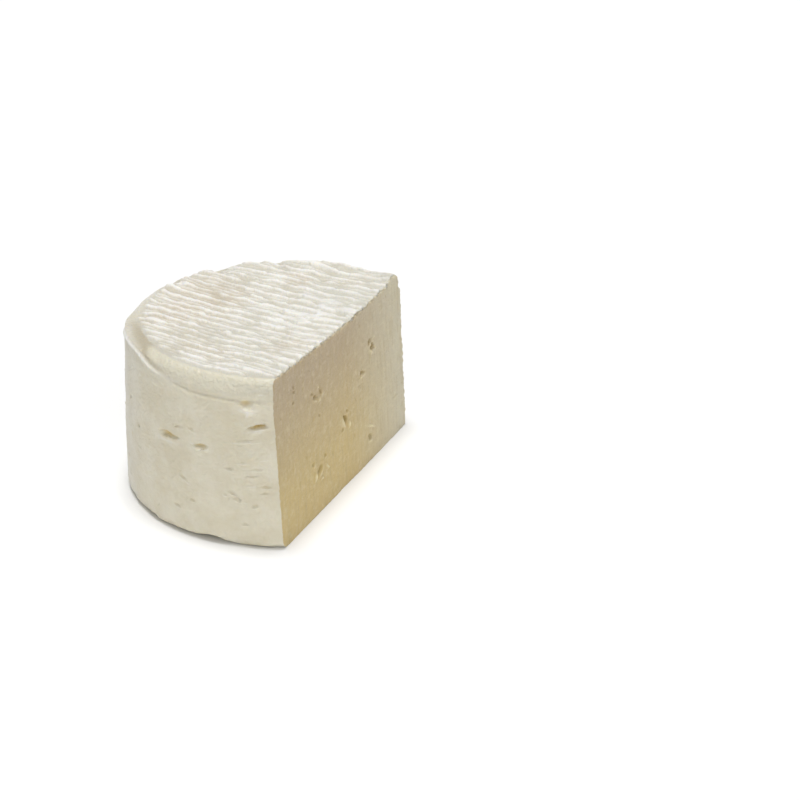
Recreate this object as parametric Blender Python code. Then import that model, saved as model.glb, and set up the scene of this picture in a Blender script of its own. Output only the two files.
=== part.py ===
"""Queso fresco: a small wheel of fresh white cheese, part of it sliced off.

The curd was drained in a round mould and turned, so the wall drafts inward a
little, the upper shoulder carries a crease from the mould's band, and the top
is printed with the ridges of the draining mat. Straight knife cuts took off
rather more than a quarter of the wheel, and the last of them left a flat face
with small mechanical openings.

Units are metres, +Z is up. The origin is on the wheel's own axis in the plane
that it rests on. The cut face looks along +X and the mat's ridges run roughly
along X.
"""
import math

import bpy
from mathutils import Matrix, Vector

MM = 0.001

# The moulded wheel
BASE_RADIUS = 61.0 * MM          # the wall's radius at the base
WALL_DRAFT = 0.0155              # how much the radius loses for each metre of height
BASE_ROUNDING = 3.0 * MM
OUT_OF_ROUND = 0.25 * MM         # three soft lobes round the wall
TURN_STEPS = 96
WALL_RINGS = 7

# The dished top: lowest behind the middle, rising to the front (-Y)
TOP_MIDDLE = 62.3 * MM
DISH_BOW = 0.6                   # rise along X, for each metre of distance squared
DISH_LINE_X = -10.0 * MM
FRONT_RISE = 0.07                # slope of the front half
FRONT_BLEND = 6.0 * MM
LIP_RADIUS = 54.0 * MM
LIP_WIDTH = 3.0 * MM
LIP_HEIGHT = 0.6 * MM            # at the back, fading to nothing at the front
KNIFE_LIFT = 1.4 * MM            # the lip is pulled up where the knife left it
KNIFE_LIFT_ANGLE = 67.0
KNIFE_LIFT_SPREAD = 6.0

# Dents pressed into the back of the rim: direction, depth and half width in degrees
RIM_DENTS = (
    (141.0, 1.6 * MM, 4.5),
    (119.0, 1.5 * MM, 3.5),
)

# The shoulder, and the crease below it that the mould's band left
CREASE_LOW = 58.4 * MM           # its height where it runs level
CREASE_FOLD = 1.5 * MM           # a first short climb
CREASE_RISE = 3.3 * MM           # and a longer one to the lip on the left of the front
CREASE_DEPTH = 0.6 * MM
CREASE_HALF_WIDTH = 1.1 * MM
SHOULDER_STEP = 0.3 * MM         # the shoulder stands back from the wall by this
SHOULDER_REACH = 5.0 * MM        # how far in it runs at the front
SHOULDER_BACK = 1.5 * MM         # and how much further at the back
SHOULDER_LEFT = 2.5 * MM         # and beside the lip
SHOULDER_RINGS = 5

# The ridges that the draining mat printed
RIDGE_COUNT = 21
RIDGE_PITCH = 5.2 * MM
RIDGE_FIRST = -56.0 * MM         # the first ridge's place along Y at the reference line
RIDGE_LINE_X = 19.0 * MM         # the reference line, close to the cut
RIDGE_LEAN = 0.12                # how far the ridges lean from the X axis
RIDGE_FAN = 0.6                  # how fast they draw together away from the cut, per metre
RIDGE_HEIGHT = 0.7 * MM
RIDGE_ROOT = 0.9 * MM            # how deep a ridge is sunk in the dish to fuse with it
RIDGE_HALF_WIDTH = 1.0 * MM
RIDGE_SQUASH = 0.8 * MM          # extra half width where the ridges are pressed flat
SQUASH_PLACE = (5.0 * MM, 5.0 * MM)
SQUASH_REACH = 21.0 * MM
RIDGE_STEP = 6.0 * MM
MAT_RADIUS = 55.4 * MM
BARE_WIDTH = 3.0 * MM            # the print stops short of the lip on the left of the front
BARE_ANGLE = 232.0
BARE_SPREAD = 24.0

# The knife's last cut: a plane that leans back from its foot
CUT_FOOT_X = 24.45 * MM
CUT_LEAN = math.radians(2.97)
KNIFE_BLOCK = 0.2

# Openings in the wall: direction, height, length, opening, depth, tilt in degrees
WALL_OPENINGS = (
    (249.8, 37.9 * MM, 8.2 * MM, 3.2 * MM, 2.0 * MM, 14.0),
    (264.0, 38.0 * MM, 6.6 * MM, 1.9 * MM, 1.8 * MM, 8.0),
    (280.6, 57.9 * MM, 6.0 * MM, 2.6 * MM, 2.2 * MM, 0.0),
    (285.4, 48.2 * MM, 7.4 * MM, 2.0 * MM, 2.6 * MM, 14.0),
    (277.6, 19.3 * MM, 4.6 * MM, 1.4 * MM, 1.2 * MM, -12.0),
    (196.0, 30.5 * MM, 6.4 * MM, 2.0 * MM, 1.8 * MM, -8.0),
    (163.0, 45.0 * MM, 7.2 * MM, 2.2 * MM, 2.0 * MM, 10.0),
    (124.0, 24.0 * MM, 5.6 * MM, 1.8 * MM, 1.6 * MM, 6.0),
    (91.0, 41.0 * MM, 7.8 * MM, 2.4 * MM, 2.2 * MM, -10.0),
)

# Openings in the cut face: place along Y, height, length, opening, depth, tilt
CUT_OPENINGS = (
    (26.0 * MM, 47.2 * MM, 2.6 * MM, 2.0 * MM, 1.4 * MM, 20.0),
    (28.0 * MM, 44.7 * MM, 3.2 * MM, 2.6 * MM, 1.8 * MM, -30.0),
    (18.0 * MM, 38.0 * MM, 3.6 * MM, 1.8 * MM, 1.4 * MM, -10.0),
    (1.2 * MM, 26.0 * MM, 3.8 * MM, 2.8 * MM, 2.2 * MM, -35.0),
    (-22.4 * MM, 45.6 * MM, 3.2 * MM, 1.8 * MM, 1.3 * MM, -25.0),
    (-17.8 * MM, 46.0 * MM, 2.2 * MM, 2.4 * MM, 1.3 * MM, 30.0),
    (-22.0 * MM, 16.0 * MM, 4.2 * MM, 2.2 * MM, 1.8 * MM, -30.0),
    (22.0 * MM, 9.8 * MM, 3.6 * MM, 2.4 * MM, 1.6 * MM, -10.0),
)


def clear_scene():
    """Remove whatever the scene holds."""
    for old in list(bpy.data.objects):
        bpy.data.objects.remove(old, do_unlink=True)


def bell(value, middle, spread):
    """A smooth bump of height 1 about the middle."""
    return math.exp(-((value - middle) / spread) ** 2)


def ease(value, start, end):
    """Go smoothly from 0 at start to 1 at end."""
    t = min(max((value - start) / (end - start), 0.0), 1.0)
    return t * t * (3.0 - 2.0 * t)


def wall_radius(height, turn):
    """The wall's radius at a height and a direction in radians."""
    lobes = OUT_OF_ROUND * math.sin(3.0 * turn + 0.9)
    return BASE_RADIUS - WALL_DRAFT * height + lobes


def top_height(x, y):
    """The height of the dished top between the ridges."""
    turn = math.atan2(y, x)
    degrees = math.degrees(turn) % 360.0
    front = FRONT_RISE * FRONT_BLEND * math.log1p(math.exp(-y / FRONT_BLEND))
    bow = DISH_BOW * (x - DISH_LINE_X) ** 2
    lip = LIP_HEIGHT * (0.5 + 0.5 * math.sin(turn))
    lip += KNIFE_LIFT * bell(degrees, KNIFE_LIFT_ANGLE, KNIFE_LIFT_SPREAD)
    for direction, depth, spread in RIM_DENTS:
        lip -= depth * bell(degrees, direction, spread)
    return TOP_MIDDLE + front + bow + lip * bell(math.hypot(x, y), LIP_RADIUS, LIP_WIDTH)


def crease_height(degrees):
    """The crease runs level along the front and climbs to a lip on the left."""
    fold = CREASE_FOLD * (1.0 - ease(degrees, 250.0, 262.0))
    climb = CREASE_RISE * (1.0 - ease(degrees, 230.0, 249.0))
    return CREASE_LOW + (fold + climb) * ease(degrees, 185.0, 215.0)


def section(step):
    """The wheel's outline in one direction, from the base up over the shoulder.

    Returns points that run from the base's edge to the last ring of the top.
    """
    turn = math.tau * step / TURN_STEPS
    degrees = math.degrees(turn)
    backness = 0.5 + 0.5 * math.sin(turn)
    frontness = max(0.0, -math.sin(turn))
    crease = crease_height(degrees)
    outline = []

    # The rounded edge at the base
    for k in range(4):
        bend = math.radians(90.0) * k / 3
        radius = wall_radius(BASE_ROUNDING, turn) - BASE_ROUNDING * (1.0 - math.sin(bend))
        outline.append((radius, BASE_ROUNDING * (1.0 - math.cos(bend))))

    # The drafted wall
    wall_top = crease - 2.2 * CREASE_HALF_WIDTH
    for k in range(1, WALL_RINGS + 1):
        height = BASE_ROUNDING + (wall_top - BASE_ROUNDING) * k / WALL_RINGS
        outline.append((wall_radius(height, turn), height))

    # The crease
    wall = wall_radius(crease, turn)
    outline.append((wall, crease - CREASE_HALF_WIDTH))
    outline.append((wall - CREASE_DEPTH, crease))
    outline.append((wall - SHOULDER_STEP, crease + CREASE_HALF_WIDTH))

    # The shoulder is a quarter of a superellipse, squarer at the front
    reach = SHOULDER_REACH + SHOULDER_BACK * backness
    reach += SHOULDER_LEFT * bell(degrees, BARE_ANGLE, BARE_SPREAD)
    power = 2.0 / (2.0 + frontness)
    inner = wall - SHOULDER_STEP - reach
    foot = crease + CREASE_HALF_WIDTH
    rise = top_height(inner * math.cos(turn), inner * math.sin(turn)) - foot
    for k in range(1, SHOULDER_RINGS + 1):
        bend = math.radians(90.0) * k / SHOULDER_RINGS
        across = max(math.cos(bend), 0.0) ** power
        outline.append((inner + reach * across, foot + rise * math.sin(bend) ** power))

    # The dish
    for share in (0.93, 0.8, 0.6, 0.35):
        radius = inner * share
        height = top_height(radius * math.cos(turn), radius * math.sin(turn))
        outline.append((radius, height))

    return [Vector((r * math.cos(turn), r * math.sin(turn), z)) for r, z in outline]


def mesh_object(name, points, faces, material):
    """One mesh object from its points and faces."""
    mesh = bpy.data.meshes.new(name)
    mesh.from_pydata(points, [], faces)
    mesh.materials.append(material)
    mesh.update()
    made = bpy.data.objects.new(name, mesh)
    bpy.context.scene.collection.objects.link(made)
    return made


def make_wheel(name, material):
    """The whole moulded wheel, before its ridges and its cuts."""
    points = []
    for step in range(TURN_STEPS):
        points.extend(section(step))
    rings = len(points) // TURN_STEPS
    base_middle = len(points)
    top_middle = base_middle + 1
    points.append(Vector((0.0, 0.0, 0.0)))
    points.append(Vector((0.0, 0.0, top_height(0.0, 0.0))))

    faces = []
    for step in range(TURN_STEPS):
        here = step * rings
        there = (step + 1) % TURN_STEPS * rings
        faces.append((base_middle, there, here))
        for k in range(rings - 1):
            faces.append((here + k, there + k, there + k + 1, here + k + 1))
        faces.append((here + rings - 1, there + rings - 1, top_middle))
    return mesh_object(name, points, faces, material)


def ridge_place(index, x):
    """Where a ridge crosses a given X: its place along Y."""
    at_line = RIDGE_FIRST + RIDGE_PITCH * index
    away = x - RIDGE_LINE_X
    return at_line + away * (RIDGE_FAN * at_line - RIDGE_LEAN)


def ridge_span(index):
    """The stretch of X over which a ridge lies on the mat's round print."""
    inside = []
    x = -BASE_RADIUS
    while x < BASE_RADIUS:
        y = ridge_place(index, x)
        degrees = math.degrees(math.atan2(y, x)) % 360.0
        if math.hypot(x, y) < MAT_RADIUS - BARE_WIDTH * bell(degrees, BARE_ANGLE, BARE_SPREAD):
            inside.append(x)
        x += 0.5 * MM
    return inside[0], inside[-1]


def make_ridge(index, material):
    """One ridge: a low bar with a rounded back that follows the dish."""
    start, end = ridge_span(index)
    count = max(4, round((end - start) / RIDGE_STEP))
    points = []
    for k in range(count + 1):
        share = k / count
        x = start + (end - start) * share
        y = ridge_place(index, x)
        fade = min(1.0, 6.0 * min(share, 1.0 - share))
        away = math.hypot(x - SQUASH_PLACE[0], y - SQUASH_PLACE[1])
        half = RIDGE_HALF_WIDTH + RIDGE_SQUASH * bell(away, 0.0, SQUASH_REACH)
        for side, lift in ((-1.25, 0.0), (-0.55, 1.0), (0.55, 1.0), (1.25, 0.0)):
            rim = top_height(x, y + side * half)
            points.append((x, y + side * half, rim - 0.05 * MM + RIDGE_HEIGHT * lift * fade))
        rim = top_height(x, y)
        points.append((x, y + 1.25 * half, rim - RIDGE_ROOT))
        points.append((x, y - 1.25 * half, rim - RIDGE_ROOT))

    corners = 6
    faces = [tuple(range(corners))]
    for k in range(count):
        here = k * corners
        there = here + corners
        for c in range(corners):
            d = (c + 1) % corners
            faces.append((here + c, there + c, there + d, here + d))
    faces.append(tuple(range(count * corners + corners - 1, count * corners - 1, -1)))
    return mesh_object("mat_ridge_%02d" % index, points, faces, material)


def make_opening(name, place, outward, along, size, material):
    """A lens-shaped cutter: length, opening and depth along its own three axes."""
    bpy.ops.mesh.primitive_ico_sphere_add(subdivisions=2, radius=0.5)
    cutter = bpy.context.object
    cutter.name = name
    cutter.data.name = name
    cutter.data.materials.append(material)
    upward = outward.cross(along)
    turn = Matrix((along, upward, outward)).transposed().to_4x4()
    length, opening, depth = size
    shape = Matrix.Diagonal((length, opening, 2.0 * depth, 1.0))
    cutter.data.transform(Matrix.Translation(place) @ turn @ shape)
    return cutter


def make_openings(material):
    """Every opening, in the wall and in the cut face."""
    cutters = []
    for k, (degrees, height, length, opening, depth, tilt) in enumerate(WALL_OPENINGS):
        turn = math.radians(degrees)
        outward = Vector((math.cos(turn), math.sin(turn), 0.0))
        level = Vector((-math.sin(turn), math.cos(turn), 0.0))
        lean = math.radians(tilt)
        along = level * math.cos(lean) + Vector((0.0, 0.0, 1.0)) * math.sin(lean)
        place = outward * wall_radius(height, turn)
        place.z = height
        size = (length, opening, depth)
        cutters.append(make_opening("wall_opening_%d" % k, place, outward, along, size, material))
    for k, (y, height, length, opening, depth, tilt) in enumerate(CUT_OPENINGS):
        outward = Vector((math.cos(CUT_LEAN), 0.0, math.sin(CUT_LEAN)))
        upward = Vector((-math.sin(CUT_LEAN), 0.0, math.cos(CUT_LEAN)))
        lean = math.radians(tilt)
        along = Vector((0.0, math.cos(lean), 0.0)) + upward * math.sin(lean)
        place = Vector((CUT_FOOT_X - height * math.tan(CUT_LEAN), y, height))
        size = (length, opening, depth)
        cutters.append(make_opening("cut_opening_%d" % k, place, outward, along, size, material))
    return cutters


def make_knife(material):
    """The block that the knife takes away, its face on the cut plane."""
    bpy.ops.mesh.primitive_cube_add(size=KNIFE_BLOCK)
    knife = bpy.context.object
    knife.name = "knife_block"
    knife.data.materials.append(material)
    centred = Matrix.Translation((0.5 * KNIFE_BLOCK, 0.0, 0.0))
    lean = Matrix.Rotation(-CUT_LEAN, 4, "Y")
    knife.data.transform(Matrix.Translation((CUT_FOOT_X, 0.0, 0.0)) @ lean @ centred)
    return knife


def apply_boolean(target, operation, others):
    """Join the others to the target, or cut them out of it, and remove them."""
    group = bpy.data.collections.new(operation.lower())
    for other in others:
        group.objects.link(other)
    step = target.modifiers.new(operation.lower(), "BOOLEAN")
    step.operation = operation
    step.operand_type = "COLLECTION"
    step.collection = group
    step.solver = "EXACT"
    evaluated = target.evaluated_get(bpy.context.evaluated_depsgraph_get())
    shaped = bpy.data.meshes.new_from_object(evaluated)
    target.modifiers.remove(step)
    target.data = shaped
    for other in others:
        bpy.data.objects.remove(other, do_unlink=True)
    bpy.data.collections.remove(group)


def fresh_cheese():
    """Moist white curd: pale ivory, softly shining."""
    material = bpy.data.materials.new("fresh_cheese")
    material.use_nodes = True
    shader = material.node_tree.nodes["Principled BSDF"]
    shader.inputs["Base Color"].default_value = (0.82, 0.79, 0.68, 1.0)
    shader.inputs["Roughness"].default_value = 0.5
    shader.inputs["Metallic"].default_value = 0.0
    return material


clear_scene()
cheese = fresh_cheese()
wheel = make_wheel("cheese_wheel", cheese)
apply_boolean(wheel, "UNION", [make_ridge(k, cheese) for k in range(RIDGE_COUNT)])
apply_boolean(wheel, "DIFFERENCE", [make_knife(cheese)] + make_openings(cheese))
wheel.data.shade_smooth()
wheel.data.set_sharp_from_angle(angle=math.radians(35.0))
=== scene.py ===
"""Queso fresco: a small wheel of fresh white cheese that has been cut into, with its finish."""
import math

import bpy
import bmesh
import numpy as np
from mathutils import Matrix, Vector
from mathutils.geometry import delaunay_2d_cdt
from mathutils.kdtree import KDTree


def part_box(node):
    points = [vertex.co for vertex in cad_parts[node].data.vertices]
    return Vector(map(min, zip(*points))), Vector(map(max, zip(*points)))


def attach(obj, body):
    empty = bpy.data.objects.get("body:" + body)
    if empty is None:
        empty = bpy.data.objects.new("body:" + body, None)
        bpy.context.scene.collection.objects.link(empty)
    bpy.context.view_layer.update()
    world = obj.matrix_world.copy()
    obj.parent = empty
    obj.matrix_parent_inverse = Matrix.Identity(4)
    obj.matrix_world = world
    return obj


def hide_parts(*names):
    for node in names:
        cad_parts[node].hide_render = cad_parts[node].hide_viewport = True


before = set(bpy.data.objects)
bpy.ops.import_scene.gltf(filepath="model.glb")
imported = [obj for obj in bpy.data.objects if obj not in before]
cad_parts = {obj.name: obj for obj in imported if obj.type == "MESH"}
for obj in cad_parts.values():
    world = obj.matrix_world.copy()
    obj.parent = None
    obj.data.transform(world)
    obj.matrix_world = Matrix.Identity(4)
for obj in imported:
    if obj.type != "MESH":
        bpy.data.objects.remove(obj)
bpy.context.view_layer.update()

# ---- The moulded wheel ----
# Fresh curd, drained in a round mould and turned over: the wall drafts inward a little, and the
# upper shoulder keeps the crease and the lip that the mould's band pressed into it. The top is
# dished. Its surface is worked out as one closed skin of patches that share their borders.
MM = 0.001
wheel_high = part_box("cheese_wheel")[1]

# Directions are in degrees from X towards Y. A range is where a change starts and where it is
# complete. A spread is how far a smooth bump reaches to either side of its middle.
BASE_RADIUS = 61.0 * MM
WALL_DRAFT = 0.0155              # radius lost for each metre of height
BASE_ROUNDING = 3.0 * MM
OUT_OF_ROUND = 0.25 * MM         # three slight corners
OUT_OF_ROUND_TURN = 0.9          # radians
BELLY_ROUND = (208.0, 18.0)      # where the wall swells: direction and spread
BELLY_UP = (27.0 * MM, 14.0 * MM)  # height and spread
BELLY_SWELL = 0.4 * MM

TOP_MIDDLE = 62.3 * MM
DISH_BOW = 0.6                   # rise along X, for each metre of distance squared
DISH_LINE_X = -10.0 * MM
FRONT_RISE = 0.07                # slope of the top's front half
FRONT_BLEND = 6.0 * MM
LIP_RADIUS = 54.0 * MM
LIP_WIDTH = 3.0 * MM
LIP_HEIGHT = 0.6 * MM            # at the back, fading to nothing at the front
KNIFE_LIFT = (67.0, 1.4 * MM, 6.0)  # direction, height, spread
RIM_DENTS = (                    # direction, depth, spread; below nothing it stands up
    (141.0, 1.9 * MM, 4.5), (119.0, 1.5 * MM, 3.5), (164.0, 1.7 * MM, 1.6), (154.0, 0.8 * MM, 5.0),
    (143.4, 1.4 * MM, 2.0), (103.0, -0.7 * MM, 4.0), (92.5, -0.7 * MM, 2.5), (80.5, 0.6 * MM, 2.0),
    (199.0, 1.7 * MM, 7.0), (201.0, 0.6 * MM, 5.0),
)

CREASE_LOW = 58.4 * MM           # level along the front, near the cut
CREASE_FOLD = 1.5 * MM           # a first, short climb to the left
CREASE_FOLD_RANGE = (250.0, 262.0)
CREASE_RISE = 3.7 * MM           # and a long one
CREASE_RISE_RANGE = (229.0, 247.0)
CREASE_DROP_RANGE = (186.0, 215.0)  # back down, out of sight
CREASE_DEPTH = 0.85 * MM
CREASE_HALF_WIDTH = 1.1 * MM
CREASE_SPREAD = 0.75 * CREASE_HALF_WIDTH
CREASE_LOST = 0.7                # share of its depth that is lost towards the cut
CREASE_LOST_RANGE = (283.0, 290.0)

SHOULDER_STEP = 0.3 * MM         # how far the shoulder stands back behind the wall
SHOULDER_REACH = 5.0 * MM        # how far it curls in
SHOULDER_BACK = 1.5 * MM         # and how much farther at the back
REACH_LOST_KNIFE = 0.45          # share of the reach that is lost where the knife lifted the lip
REACH_LOST_CUT = 0.25            # and towards the front end of the cut
REACH_CUT_RANGE = (274.0, 286.0)
REACH_LEFT = 0.4                 # and gained on the left
REACH_LEFT_ROUND = (200.0, 9.0)
SHOULDER_LEAN = 0.3              # how far it leans in, for its height
LEAN_RANGE = (272.0, 286.0)
SHOULDER_FULL = 1.5              # how much squarer than an ellipse it is at the front
FULL_FROM = 0.35                 # as the sine of the direction

FOOT_GAPS = (                    # where the foot stands off the table: direction, lift, spread
    (267.5, 1.8 * MM, 5.5), (256.0, 0.5 * MM, 5.0), (171.0, 0.7 * MM, 6.0),
)
FOOT_REACH = 8.0 * MM            # the height at which a gap has faded

BEAD_PROUD = 0.9 * MM            # on the left of the front the crease turns into a raised bead
BEAD_HALF_WIDTH = 0.9 * MM
BEAD_START_RANGE = (201.0, 218.0)
BEAD_END_RANGE = (234.0, 258.0)
TROUGH_DEPTH = 0.35 * MM         # and the skin sinks a little behind it

CUT_FOOT_X = wheel_high[0]       # the knife's last cut leans back from its foot
CUT_LEAN = 2.97
CUT_SLOPE = math.tan(math.radians(CUT_LEAN))

ROUNDING_RUN = 0.5 * math.pi * BASE_ROUNDING
WALL_RUN = 55.0 * MM
SHOULDER_START = ROUNDING_RUN + WALL_RUN
SHOULDER_RUN = 10.0 * MM
SKIN_RUN = SHOULDER_START + SHOULDER_RUN
GIRTH = 240.0 * MM


def bell(value, middle, spread):
    """A smooth bump of height 1 about the middle."""
    return np.exp(-((value - middle) / spread) ** 2)


def ease(value, start, end):
    """Go smoothly from 0 at start to 1 at end."""
    share = np.clip((value - start) / (end - start), 0.0, 1.0)
    return share * share * (3.0 - 2.0 * share)


def wall_radius(height, turn):
    """The wall's radius at a height and a direction."""
    radius = BASE_RADIUS - WALL_DRAFT * height
    radius = radius + OUT_OF_ROUND * np.sin(3.0 * turn + OUT_OF_ROUND_TURN)
    return radius + BELLY_SWELL * bell(np.degrees(turn), *BELLY_ROUND) * bell(height, *BELLY_UP)


def top_height(x, y):
    """The height of the dished top between the ridges."""
    turn = np.arctan2(y, x)
    degrees = np.degrees(turn) % 360.0
    front = FRONT_RISE * FRONT_BLEND * np.log1p(np.exp(-y / FRONT_BLEND))
    bow = DISH_BOW * (x - DISH_LINE_X) ** 2
    lip = LIP_HEIGHT * (0.5 + 0.5 * np.sin(turn))
    lip = lip + KNIFE_LIFT[1] * bell(degrees, KNIFE_LIFT[0], KNIFE_LIFT[2])
    for direction, depth, spread in RIM_DENTS:
        lip = lip - depth * bell(degrees, direction, spread)
    return TOP_MIDDLE + front + bow + lip * bell(np.hypot(x, y), LIP_RADIUS, LIP_WIDTH)


def crease_height(degrees):
    """The crease runs level along the front and climbs to a bead on the left."""
    fold = CREASE_FOLD * (1.0 - ease(degrees, *CREASE_FOLD_RANGE))
    climb = CREASE_RISE * (1.0 - ease(degrees, *CREASE_RISE_RANGE))
    return CREASE_LOW + (fold + climb) * ease(degrees, *CREASE_DROP_RANGE)


def beaded(degrees):
    """How much the crease is a raised bead."""
    return ease(degrees, *BEAD_START_RANGE) * (1.0 - ease(degrees, *BEAD_END_RANGE))


def skin_point(run, turn):
    """Radius and height of the moulded skin; run climbs over base edge, wall and shoulder."""
    degrees = np.degrees(turn)
    crease = crease_height(degrees)
    bend = np.clip(run / ROUNDING_RUN, 0.0, 1.0) * 0.5 * math.pi
    climb = np.clip((run - ROUNDING_RUN) / WALL_RUN, 0.0, 1.0)
    curl = np.clip((run - ROUNDING_RUN - WALL_RUN) / SHOULDER_RUN, 0.0, 1.0) * 0.5 * math.pi

    foot = crease + CREASE_HALF_WIDTH
    height = BASE_ROUNDING * (1.0 - np.cos(bend)) + (foot - BASE_ROUNDING) * climb
    gap = sum(lift * bell(degrees, direction, spread) for direction, lift, spread in FOOT_GAPS)
    height = height + gap * np.clip(1.0 - height / FOOT_REACH, 0.0, 1.0) ** 2
    bead = beaded(degrees)
    depth = CREASE_DEPTH * (1.0 - CREASE_LOST * ease(degrees, *CREASE_LOST_RANGE)) * (1.0 - bead)
    radius = wall_radius(height, turn) - BASE_ROUNDING * (1.0 - np.sin(bend))
    radius = radius - depth * bell(height, crease, CREASE_SPREAD)
    radius = radius + bead * BEAD_PROUD * bell(height, crease, BEAD_HALF_WIDTH)
    radius = radius - SHOULDER_STEP * ease(height, crease, foot)

    reach = SHOULDER_REACH + SHOULDER_BACK * (0.5 + 0.5 * np.sin(turn))
    power = 2.0 / (2.0 + SHOULDER_FULL * np.maximum(0.0, -np.sin(turn) - FULL_FROM))
    reach = reach * (1.0 - REACH_LOST_KNIFE * bell(degrees, KNIFE_LIFT[0], KNIFE_LIFT[2]))
    reach = reach * (1.0 - REACH_LOST_CUT * ease(degrees, *REACH_CUT_RANGE))
    reach = reach * (1.0 + REACH_LEFT * bell(degrees, *REACH_LEFT_ROUND))
    lean = SHOULDER_LEAN * (1.0 - ease(degrees, *LEAN_RANGE))
    outer = wall_radius(foot, turn) - SHOULDER_STEP
    inner = outer - reach
    rise = top_height(inner * np.cos(turn), inner * np.sin(turn)) - foot
    across = np.maximum(np.cos(curl), 0.0) ** power
    shoulder = inner + reach * across
    crown = foot + rise * np.sin(curl) ** power
    shoulder = shoulder - lean * (crown - foot) * across
    crown = crown - bead * TROUGH_DEPTH * np.sin(2.0 * curl) ** 2
    return np.where(curl > 0.0, shoulder, radius), np.where(curl > 0.0, crown, height)


def cut_x(height):
    """Where the cut face lies at a height."""
    return CUT_FOOT_X - CUT_SLOPE * height


CORNER_TURN = 1.16               # radians, about where the cut meets the wall
CORNER_ROUNDS = 8


def skin_turn(run, share):
    """The direction at a share of the way round, from the back end of the cut to the front."""
    ends = []
    for side in (1.0, -1.0):
        turn = np.full_like(run, CORNER_TURN if side > 0.0 else math.tau - CORNER_TURN)
        for _ in range(CORNER_ROUNDS):
            radius, height = skin_point(run, turn)
            corner = np.arccos(cut_x(height) / radius)
            turn = corner if side > 0.0 else math.tau - corner
        ends.append(turn)
    return ends[0] + (ends[1] - ends[0]) * share


def skin_place(spots):
    """Points of the skin, from their place round the girth and up the run."""
    run = spots[:, 1]
    turn = skin_turn(run, spots[:, 0] / GIRTH)
    radius, height = skin_point(run, turn)
    return np.column_stack([radius * np.cos(turn), radius * np.sin(turn), height])


def steps(start, end, size):
    """Even steps from start to end, both included."""
    return np.linspace(start, end, max(2, round(abs(end - start) / size) + 1))


def spots_at(across, up):
    """Spots from their places across and up, either of which may be one number for all."""
    return np.column_stack(np.broadcast_arrays(across, up))


def staggered(low, high, across, up):
    """Spots that fill a rectangle in staggered rows."""
    rows = []
    for k, level in enumerate(steps(low[1], high[1], up)):
        places = steps(low[0], high[0], across) + (0.5 * across if k % 2 else 0.0)
        rows.append(spots_at(places, level))
    return np.concatenate(rows)


wheel_points = np.zeros((0, 3))
wheel_faces = []


def add_points(places):
    """Append points to the wheel and return their numbers."""
    global wheel_points
    first = len(wheel_points)
    wheel_points = np.concatenate([wheel_points, places])
    return list(range(first, len(wheel_points)))


NEARLY_SAME = 1e-7


def add_patch(border, flat, spots, place, gap):
    """Fill a border of numbered points with triangles over the spots that lie a gap inside it.

    Flat says where the border's points lie in the patch's own plane, where they run
    anticlockwise, and place turns spots of that plane into points of the wheel.
    """
    tree = KDTree(len(flat))
    for k, (across, up) in enumerate(flat):
        tree.insert((across, up, 0.0), k)
    tree.balance()
    clear = [spot for spot in spots if tree.find((*spot, 0.0))[2] > gap]
    flat_points = [Vector(spot) for spot in (*flat, *clear)]
    filled = delaunay_2d_cdt(flat_points, [], [list(range(len(flat)))], 0, NEARLY_SAME, True)
    triangles = [triangle for triangle, inside in zip(filled[2], filled[5]) if inside]
    used = sorted({k for triangle in triangles for k in triangle if k >= len(flat)})
    numbers = dict(zip(range(len(flat)), border))
    numbers.update(zip(used, add_points(place(np.array([flat_points[k][:] for k in used])))))
    wheel_faces.extend([numbers[k] for k in triangle] for triangle in triangles)


# The borders: both ends of the skin at the cut, the ring at the base, the ring round the top,
# and the two long edges of the cut
BORDER_STEP = 0.6 * MM
ARRIS_STEP = 0.36 * MM
BASE_RING_STEP = 0.8 * MM
TOP_RING_STEP = 0.7 * MM
CUT_FOOT_STEP = 0.7 * MM
EDGE_ROUNDS = 6
runs = steps(0.0, SKIN_RUN, BORDER_STEP)
round_base = steps(0.0, GIRTH, BASE_RING_STEP)
round_top = steps(0.0, GIRTH, TOP_RING_STEP)
back_column = add_points(skin_place(spots_at(0.0, runs)))
front_column = add_points(skin_place(spots_at(GIRTH, runs)))
inner_base = round_base[1:-1]
inner_top = round_top[1:-1]
base_ring = add_points(skin_place(spots_at(inner_base, 0.0)))
top_ring = add_points(skin_place(spots_at(inner_top, SKIN_RUN)))


def cut_edge(start, end, size, height):
    """Points along the cut between two corners, at the height that a function gives."""
    y = steps(wheel_points[start][1], wheel_points[end][1], size)[1:-1]
    x = np.full_like(y, CUT_FOOT_X)
    for _ in range(EDGE_ROUNDS):
        x = cut_x(height(x, y))
    return add_points(np.column_stack([x, y, height(x, y)]))


arris = cut_edge(front_column[-1], back_column[-1], ARRIS_STEP, top_height)
cut_foot = cut_edge(front_column[0], back_column[0], CUT_FOOT_STEP, lambda x, y: 0.0 * y)

# Openings in the wall: direction, height, length, opening and depth in millimetres, tilt in
# degrees, and how steep their sides are
WALL_OPENINGS = (
    (249.8, 37.9, 13, 3, 1.3, 2, 0.1),
    (264.2, 37.7, 9, 1.7, 1.05, 8, 0.2),
    (281, 57.1, 8.4, 3.2, 1.15, 4, 0),
    (285.4, 48.4, 8.2, 1.5, 1.7, 14, 0.3),
    (277.6, 19.3, 4.6, 1.4, 0.6, -12, 0.1),
    (196, 30.5, 6.4, 2, 1.4, -8, 0.2),
    (163, 45, 7.2, 2.2, 1.8, 10, 0.3),
    (124, 24, 5.6, 1.8, 1.2, 6, 0.1),
    (91, 41, 7.8, 2.4, 1.8, -10, 0.2),
)

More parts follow.
